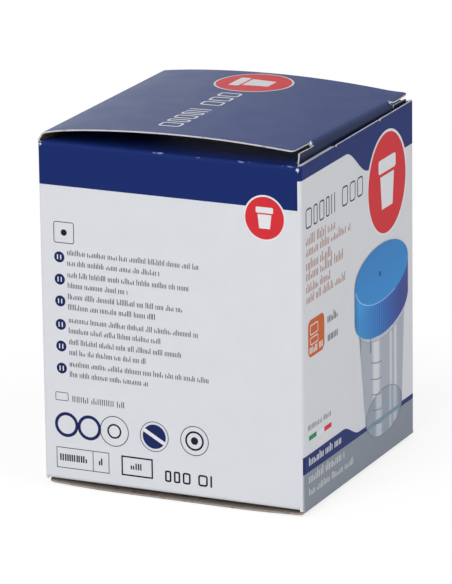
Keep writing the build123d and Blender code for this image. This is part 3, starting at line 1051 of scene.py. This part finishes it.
# A pale bar lies across the disc: 2.5 mm by 1.4 mm either way along it, half of (0.5, -0.7) across
t = np.linspace(-1, 1, 9)[None, :]
r = np.array([-0.5, 0.5])[:, None]
marks.append(film(on_left, halves[0] + 2.5 * t + 0.5 * r, halves[1] + 1.4 * t - 0.7 * r, 2))
ink_piece("dark_text_on_side", "carton", text, dark_ink)
ink_piece("navy_signs_on_side", "carton", dots + signs, sign_ink)
ink_piece("pale_marks_on_side", "carton", marks, ring_ink)

# %% [markdown]
# ### Print on the front
#
# The front has a headline, lines of small print in orange-brown, an orange square, small bars
# of colour and, at the right, the drawing of the cup with its blue cap.

# %% Lines and marks on the front
brown_ink = printed_board("orange_brown_text_ink", "#a5643f")
orange_ink = printed_board("orange_offset_ink", "#cf642e")
green_ink = printed_board("green_offset_ink", "#2f8a5c")
HEADLINE_SHARES = (0.62, 0.4, 0.5, 0.34, 0, 0, -0.3, 0.62, 0.6, 0.6)
brown_lines = [   # height, end and size
    (62.2, -13.0, 1.55), (59.7, -3.6, 1.55), (56.6, -14.5, 1.55),
    (54.2, -8.7, 1.55), (51.4, -15.9, 1.35), (48.9, -7.4, 1.35),
]
brown = [
    strokes(on_front, -29.6, end, base, size, 1, 60 + number, 0.2, pitch=0.56, tall=1.5)
    for number, (base, end, size) in enumerate(brown_lines)
]
front_dark = [
    *headline(on_front, -29.7, 2.4, 66.0, 4.6, HEADLINE_SHARES, 0.34, 1),
    strokes(on_front, -18.0, -11.3, 41.5, 1.5, 1, 71, 0.26, pitch=0.56),
    strokes(on_front, -18.0, -11.3, 37.2, 1.5, 1, 72, 0.26, pitch=0.56),
    strokes(on_front, -29.3, -16.2, 19.5, 1.2, 1, 73, 0.2, pitch=0.6, tall=1.0),
]
front_white = [
    outline(on_front, -27.8, -23.4, 41.2, 43.6, 0.24, 0.5, 2),
    outline(on_front, -27.8, -23.4, 38.9, 40.7, 0.24, 0.5, 2),
    strokes(on_front, -28.2, -20.7, 37.0, 1.5, 2, 74, 0.3, pitch=0.5, tall=1.0),
    strokes(on_front, -29.0, -9.3, 11.3, 1.35, 3, 75, 0.3, pitch=0.62),
    strokes(on_front, -29.0, -8.0, 7.2, 1.5, 2, 76, 0.2, pitch=0.62),
    strokes(on_front, -29.0, -3.1, 4.3, 1.2, 2, 77, 0.2, pitch=0.62),
    box(on_front, -24.6, -20.4, 16.95, 18.0, 1),
]
orange_square = rounded_field(on_front, -28.9, -19.9, 36.2, 44.8, 1.6, 1)
for name, shapes, ink in (
    ("brown_text_on_front", brown, brown_ink), ("dark_print_on_front", front_dark, dark_ink),
    ("orange_square_on_front", [orange_square], orange_ink),
    ("white_print_on_front", front_white, ring_ink),
    ("green_bar_on_front", [box(on_front, -28.9, -24.7, 17.1, 18.2, 1)], green_ink),
    ("red_bar_on_front", [box(on_front, -20.3, -16.3, 16.8, 17.9, 1)], red_ink),
):
    ink_piece(name, "carton", shapes, ink)
lid_headline = headline(on_lid, -25.3, 9.6, -0.4, 5.4, HEADLINE_SHARES, 0.52, 1)
ink_piece("headline_on_lid", "lid", lid_headline, ring_ink)

# %% [markdown]
# ### The drawing of the cup
#
# The drawing is four fields: the cap's round top, its ribbed side, the clear body and its foot.
# Each is bounded by arcs of an ellipse, because a circle seen from above is drawn as one. The
# shading that a photographer's light leaves on plastic is a ramp of tones across the drawing.

# %% Inks of the drawing
def shaded_ink(name, tones, low, high, ribs=None, axis="X"):
    """Offset ink whose tone changes across the drawing, from low to high in millimetres.

    ribs gives their spacing and the heights between which they fade in. Each rib darkens
    the tone by a sine wave of X, of up to three tenths.
    """
    material, tree, place = new_material(name)
    axes = add(tree, "SeparateXYZ", {"Vector": place})
    across = add(tree, "MapRange", {"Value": axes.outputs[axis]}, {
        "From Min": low * MM, "From Max": high * MM,
    })
    ramp = add(tree, "ValToRGB", {"Fac": across.outputs["Result"]})
    fill_ramp(ramp, [(at, colour(code)) for at, code in tones])
    tint = ramp.outputs["Color"]
    if ribs:
        spacing, top, full = ribs
        turns = {1: 2 * math.pi / (spacing * MM)}
        phase = add(tree, "Math", {0: axes.outputs["X"]}, turns, operation="MULTIPLY")
        wave = add(tree, "Math", {0: phase.outputs[0]}, operation="SINE")
        groove = add(tree, "Math", {0: wave.outputs[0]}, {1: 0.5, 2: 0.5}, operation="MULTIPLY_ADD")
        fade = add(tree, "MapRange", {"Value": axes.outputs["Z"]}, {
            "From Min": full * MM, "From Max": top * MM, "To Min": 0.3, "To Max": 0.0,
        }, interpolation_type="SMOOTHSTEP")
        cut = add(tree, "Math", {0: groove.outputs[0], 1: fade.outputs["Result"]}, operation="MULTIPLY")
        kept = add(tree, "Math", {1: cut.outputs[0]}, {0: 1.0}, operation="SUBTRACT")
        tint = add(tree, "VectorMath", {0: tint, "Scale": kept.outputs[0]}, operation="SCALE").outputs[0]
    varnished(tree, place, tint, shine=0.10)
    return material


def streaked(edge, wall, bright, streaks):
    """Tones across clear plastic: dark edges, an even wall between them, and bright streaks.

    A streak is (start, end, fade) as shares of the width: it fades in before its start and
    out after its end.
    """
    tones = [(0.0, edge), (0.02, wall)]
    for start, end, fade in streaks:
        tones += [(start - fade, wall), (start, bright), (end, bright), (end + fade, wall)]
    return [tone for tone in tones if tone[0] < 1] + [(1.0, edge)]


BODY_TONES = streaked("#8a919e", "#b0b6c3", "#dee1e8", [
    (0.30, 0.38, 0.06), (0.66, 0.66, 0.035), (0.76, 0.76, 0.045), (0.98, 0.98, 0.02),
])
FOOT_TONES = streaked("#808a97", "#9ba5b3", "#c5cbd4", [
    (0.30, 0.40, 0.06), (0.67, 0.67, 0.05), (0.80, 0.80, 0.08),
])
CAP_TOP_TONES = [(0, "#3c91d8"), (0.5, "#3a8bd0"), (1, "#3c86c8")]
CAP_SIDE_TONES = [
    (0, "#3b86cf"), (0.08, "#46a0e6"), (0.35, "#3b8bd8"), (0.6, "#3a6cc0"), (0.85, "#3d4f9c"),
    (1, "#46508f"),
]
cap_top_ink = shaded_ink("blue_drawing_ink_cap_top", CAP_TOP_TONES, 38, 52, axis="Z")
cap_side_ink = shaded_ink(
    "blue_drawing_ink_cap_side", CAP_SIDE_TONES, -2.7, 28.7, ribs=(1.12, 41.0, 36.5),
)
body_ink = shaded_ink("clear_drawing_ink_body", BODY_TONES, 0.4, 27.4)
foot_ink = shaded_ink("clear_drawing_ink_foot", FOOT_TONES, 3.5, 24.8)
print("four shaded inks for the drawing")

# %% Fields of the drawing
cap_centre, cap_half, cap_middle, cap_rise, cap_foot = 12.9, 15.6, 45.0, 6.8, 36.9
ledge_centre, ledge_half, ledge_foot, cap_drop = cap_centre + 0.3, 14.6, 35.9, 6.5
foot_centre, foot_half, foot_middle, foot_drop = cap_centre + 1.2, 10.7, 11.6, 5.6


def arc_of(u, centre, half, drop):
    """Height of an ellipse's lower half below its middle: drop * sqrt(1 - t**2)."""
    t = np.clip((u - centre) / half, -1, 1)
    return drop * np.sqrt(1 - t**2)


def ellipse(u, v, half, high, layer, inner=0.0, start=0.0, end=360.0):
    """Part of an ellipse: (u + half * r * cos(t), v + high * r * sin(t)), for r from inner to 1."""
    r = np.linspace(inner, 1, 5)[:, None]
    t = np.radians(np.linspace(start, end, 73))[None, :]
    return film(on_front, u + half * r * np.cos(t), v + high * r * np.sin(t), layer)


sweep = np.sin(np.linspace(-np.pi / 2, np.pi / 2, 61))
cap_u = cap_centre + cap_half * sweep
cap_low = cap_foot - arc_of(cap_u, cap_centre, cap_half, cap_drop)
ledge_u = ledge_centre + ledge_half * sweep
ledge_low = ledge_foot - arc_of(ledge_u, ledge_centre, ledge_half, cap_drop)

# The body's sides run straight from below the cap to the foot, whose front is an arc
share = np.linspace(0, 1, 9)[:, None]
half = 13.5 - 2.8 * share
body_u = cap_centre + (foot_centre - cap_centre) * share + half * sweep[None, ::2]
body_low = foot_middle - arc_of(body_u[-1], foot_centre, foot_half, foot_drop)
body_v = 36.0 * (1 - share) + body_low[None, :] * share

tick_u = np.linspace(6.6, 12.7, 9)
tick_bow = 0.55 - 1.15 * np.sin(np.linspace(0, np.pi / 2, len(tick_u)))
drawn_lines = [
    field(on_front, tick_u, base + tick_bow - 0.11, base + tick_bow + 0.11, 6)
    for base in (24.6, 20.7, 17.0, 13.3, 10.0)
]
drawn_lines += [
    ellipse(foot_centre, foot_middle, 10.6, foot_drop, 5, inner=0.975),
    box(on_front, 6.05, 6.5, 27.6, 31.2, 5),
    field(on_front, ledge_u, ledge_low - 0.1, ledge_low, 4),
]
seen_stripe = field(on_front, np.linspace(4.4, 24.2, 20), 9.6, 10.6, 5)
print(f"the drawing is {2 * cap_half:.1f} mm wide")

# %% Pieces of the drawing
tick_ink = printed_board("grey_drawing_ink_lines", "#7f8795")
ledge_ink = printed_board("pale_drawing_ink", "#c4cad3")
stripe_ink = printed_board("teal_grey_drawing_ink", "#8098a6")
gate_ink = printed_board("dark_blue_drawing_ink", "#1f4f8c")
rim_ink = printed_board("light_blue_drawing_ink", "#a8cdea")
cap_rim = ellipse(cap_centre, cap_middle, 15.5, 6.75, 8, inner=0.975, start=188, end=300)
for name, shapes, ink in (
    ("drawn_cup_body", [film(on_front, body_u, body_v, 3)], body_ink),
    ("drawn_cup_foot", [ellipse(foot_centre, foot_middle, 10.4, 5.4, 4)], foot_ink),
    ("drawn_stripe_through_foot", [seen_stripe], stripe_ink),
    ("drawn_lines", drawn_lines, tick_ink),
    ("drawn_ledge_under_cap", [field(on_front, ledge_u, ledge_low, ledge_low + 0.8, 4)], ledge_ink),
    ("drawn_cap_side", [field(on_front, cap_u, cap_low, cap_middle, 6, rows=4)], cap_side_ink),
    ("drawn_cap_top", [ellipse(cap_centre, cap_middle, cap_half, cap_rise, 7)], cap_top_ink),
    ("drawn_gate", [disc(on_front, 11.9, cap_middle, 0.62, 8, steps=24)], gate_ink),
    ("drawn_cap_rim", [cap_rim], rim_ink),
):
    ink_piece(name, "carton", shapes, ink)

# %% [markdown]
# ## The cup and its cap
#
# The cup is clear polypropylene, moulded thin, so it is clear but a little milky. The cap is
# blue polyethylene with a satin face from the mould. Both keep their solids.

# %% Plastics
clear_plastic, tree, place = new_material("clear_moulded_polypropylene")
flow = add(tree, "TexNoise", {"Vector": place}, {"Scale": 0.06 / MM, "Detail": 2.0})
haze = add(tree, "MapRange", {"Value": flow.outputs["Fac"]}, {"To Min": 0.10, "To Max": 0.18})
shader = add(tree, "BsdfPrincipled", {"Roughness": haze.outputs["Result"]}, {
    "Base Color": colour("#eef3f7"), "IOR": 1.49, "Transmission Weight": 0.92,
})
add(tree, "OutputMaterial", {"Surface": shader.outputs["BSDF"]})

# The mould was finely blasted, which leaves 1.8 grains to the millimetre as drawn here
blue_plastic, tree, place = new_material("blue_moulded_polyethylene")
mould = add(tree, "TexNoise", {"Vector": place}, {"Scale": 1.8 / MM, "Detail": 2.0})
tone = add(tree, "TexNoise", {"Vector": place}, {"Scale": 0.09 / MM, "Detail": 2.0})
tint = add(tree, "Mix", {"Factor": tone.outputs["Fac"]}, data_type="RGBA")
tint.inputs[6].default_value, tint.inputs[7].default_value = colour("#1f6fc4"), colour("#2a7dd0")
bump = add(tree, "Bump", {"Height": mould.outputs["Fac"]}, {"Strength": 0.2, "Distance": 0.03 * MM})
shader = add(tree, "BsdfPrincipled", {"Base Color": tint.outputs[2], "Normal": bump.outputs["Normal"]}, {
    "Roughness": 0.38, "IOR": 1.5, "Subsurface Weight": 0.1, "Subsurface Scale": 1 * MM,
})
add(tree, "OutputMaterial", {"Surface": shader.outputs["BSDF"]})

for node, material in (("cup", clear_plastic), ("screw_cap", blue_plastic)):
    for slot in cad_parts[node].material_slots:
        slot.material = material
    print(node, "gets", material.name)

# %% [markdown]
# ## Floor, light and camera
#
# The photograph was made on a white sweep with soft light. The floor here is plain and pale
# and keeps the carton's soft shadow, and away from the carton it fades to the white of the
# background.

# %% Floor
def seen_rays(tree):
    """1 for the rays that show a background: camera, glossy and transmission rays."""
    rays = add(tree, "LightPath").outputs
    seen = add(tree, "Math", {0: rays["Is Camera Ray"], 1: rays["Is Glossy Ray"]}, operation="MAXIMUM")
    seen = add(tree, "Math", {0: seen.outputs[0], 1: rays["Is Transmission Ray"]}, operation="MAXIMUM")
    return seen.outputs[0]


floor_rings = np.array([0, 0.06, 0.12, 0.2, 0.35, 0.7, 3.0])[:, None] / MM
turn = np.linspace(0, 2 * np.pi, 49)[None, :]
floor_grid = np.stack([
    floor_rings * np.cos(turn), floor_rings * np.sin(turn), 0 * floor_rings * turn - 0.02,
], axis=-1)
floor_mesh = mesh_of("floor", [surface(floor_grid, np.broadcast_to([0.0, 0.0, 1.0], floor_grid.shape))])
floor = bpy.data.objects.new("floor", floor_mesh)
bpy.context.scene.collection.objects.link(floor)
floor_paint, tree, place = new_material("pale_paper_sweep")
reach = add(tree, "VectorMath", {0: place}, operation="LENGTH")
fade = add(tree, "MapRange", {"Value": reach.outputs["Value"]}, {"From Min": 50 * MM, "From Max": 120 * MM},
           interpolation_type="SMOOTHSTEP")
seen = seen_rays(tree)
white_share = add(tree, "Math", {0: seen, 1: fade.outputs["Result"]}, operation="MULTIPLY")
tone = add(tree, "TexNoise", {"Vector": place}, {"Scale": 0.04 / MM, "Detail": 3.0})
paper_tone = add(tree, "Mix", {"Factor": tone.outputs["Fac"]}, data_type="RGBA")
paper_tone.inputs[6].default_value, paper_tone.inputs[7].default_value = colour("#f4f4f4"), colour("#f7f7f7")
paper = add(tree, "BsdfDiffuse", {"Color": paper_tone.outputs[2]})
faint = add(tree, "BsdfDiffuse", {}, {"Color": (0.30, 0.30, 0.30, 1)})
glow = add(tree, "Emission", {}, {"Color": (1, 1, 1, 1), "Strength": 0.78})
lifted = add(tree, "AddShader", {0: faint.outputs[0], 1: glow.outputs[0]})
near = add(tree, "MixShader", {0: seen, 1: paper.outputs[0], 2: lifted.outputs[0]})
white = add(tree, "Emission", {}, {"Color": (1, 1, 1, 1), "Strength": 1.0})
both = add(tree, "MixShader", {0: white_share.outputs[0], 1: near.outputs[0], 2: white.outputs[0]})
add(tree, "OutputMaterial", {"Surface": both.outputs[0]})
floor.data.materials.append(floor_paint)
floor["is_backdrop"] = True
print("floor", floor.dimensions[0], "m wide")

# %% World
world = bpy.data.worlds.new("soft_white_studio")
bpy.context.scene.world = world
world.use_nodes = True
tree = world.node_tree
tree.nodes.clear()
ambient = add(tree, "Background", {}, {"Color": (1, 1, 1, 1), "Strength": 0.40})
backdrop = add(tree, "Background", {}, {"Color": (1, 1, 1, 1), "Strength": 1.0})
mixed = add(tree, "MixShader", {0: seen_rays(tree), 1: ambient.outputs[0], 2: backdrop.outputs[0]})
add(tree, "OutputWorld", {"Surface": mixed.outputs[0]})
print("world:", world.name)


# %% Lamps
def stand(thing, place, right, up, back):
    """Puts a lamp or camera at its place, turned so that it looks away from back."""
    thing.matrix_world = Matrix([
        (right[k], up[k], back[k], place[k]) for k in range(3)
    ] + [(0, 0, 0, 1)])


def turned(back):
    """Directions to the right and up for something that looks away from back and stands level."""
    right = np.cross([0, 0, 1], back)
    right = right / np.linalg.norm(right)
    return right, np.cross(back, right)


def softbox(name, place, aim, size, power):
    """A square area lamp that looks from its place at a point."""
    light = bpy.data.lights.new(name, "AREA")
    light.shape, light.size, light.energy = "SQUARE", size, power
    lamp = bpy.data.objects.new(name, light)
    lamp.visible_camera = False
    bpy.context.scene.collection.objects.link(lamp)
    back = np.array(place) - np.array(aim)
    back = back / np.linalg.norm(back)
    stand(lamp, place, *turned(back), back)
    print(name, "with", power, "W")


softbox("softbox_left", (-1.0, 0.1, 0.7), (0, 0, 0.04), 0.7, 6.5)
softbox("softbox_front", (-0.1, -1.1, 0.6), (0, 0, 0.04), 0.7, 3.3)
softbox("softbox_rear_low", (1.3, 0.72, 0.20), (0, 0, 0.08), 0.3, 0.5)

# %% Camera
focal_px, image_height = 4920.3, 584
camera_place = (-0.98156, -0.45038, 0.35561)
azimuth, elevation, roll = map(math.radians, (-65.304, 16.275, 0.765))
back = np.array([
    math.sin(azimuth) * math.cos(elevation), -math.cos(azimuth) * math.cos(elevation), math.sin(elevation),
])
level, rise = turned(back)
view = bpy.data.cameras.new("camera")
view.sensor_width = 36
view.lens = focal_px / image_height * view.sensor_width
view.clip_start, view.clip_end = 0.05, 20
camera = bpy.data.objects.new("camera", view)
bpy.context.scene.collection.objects.link(camera)
stand(
    camera, camera_place, math.cos(roll) * level - math.sin(roll) * rise,
    math.sin(roll) * level + math.cos(roll) * rise, back,
)
bpy.context.scene.camera = camera
bpy.context.scene.view_settings.view_transform = "Standard"
print(f"camera {view.lens:.1f} mm lens")

# %% Sizes of the dressed model, and the end
low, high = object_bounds()
print("dressed model in mm:", [round((b - a) / MM, 1) for a, b in zip(low, high)])
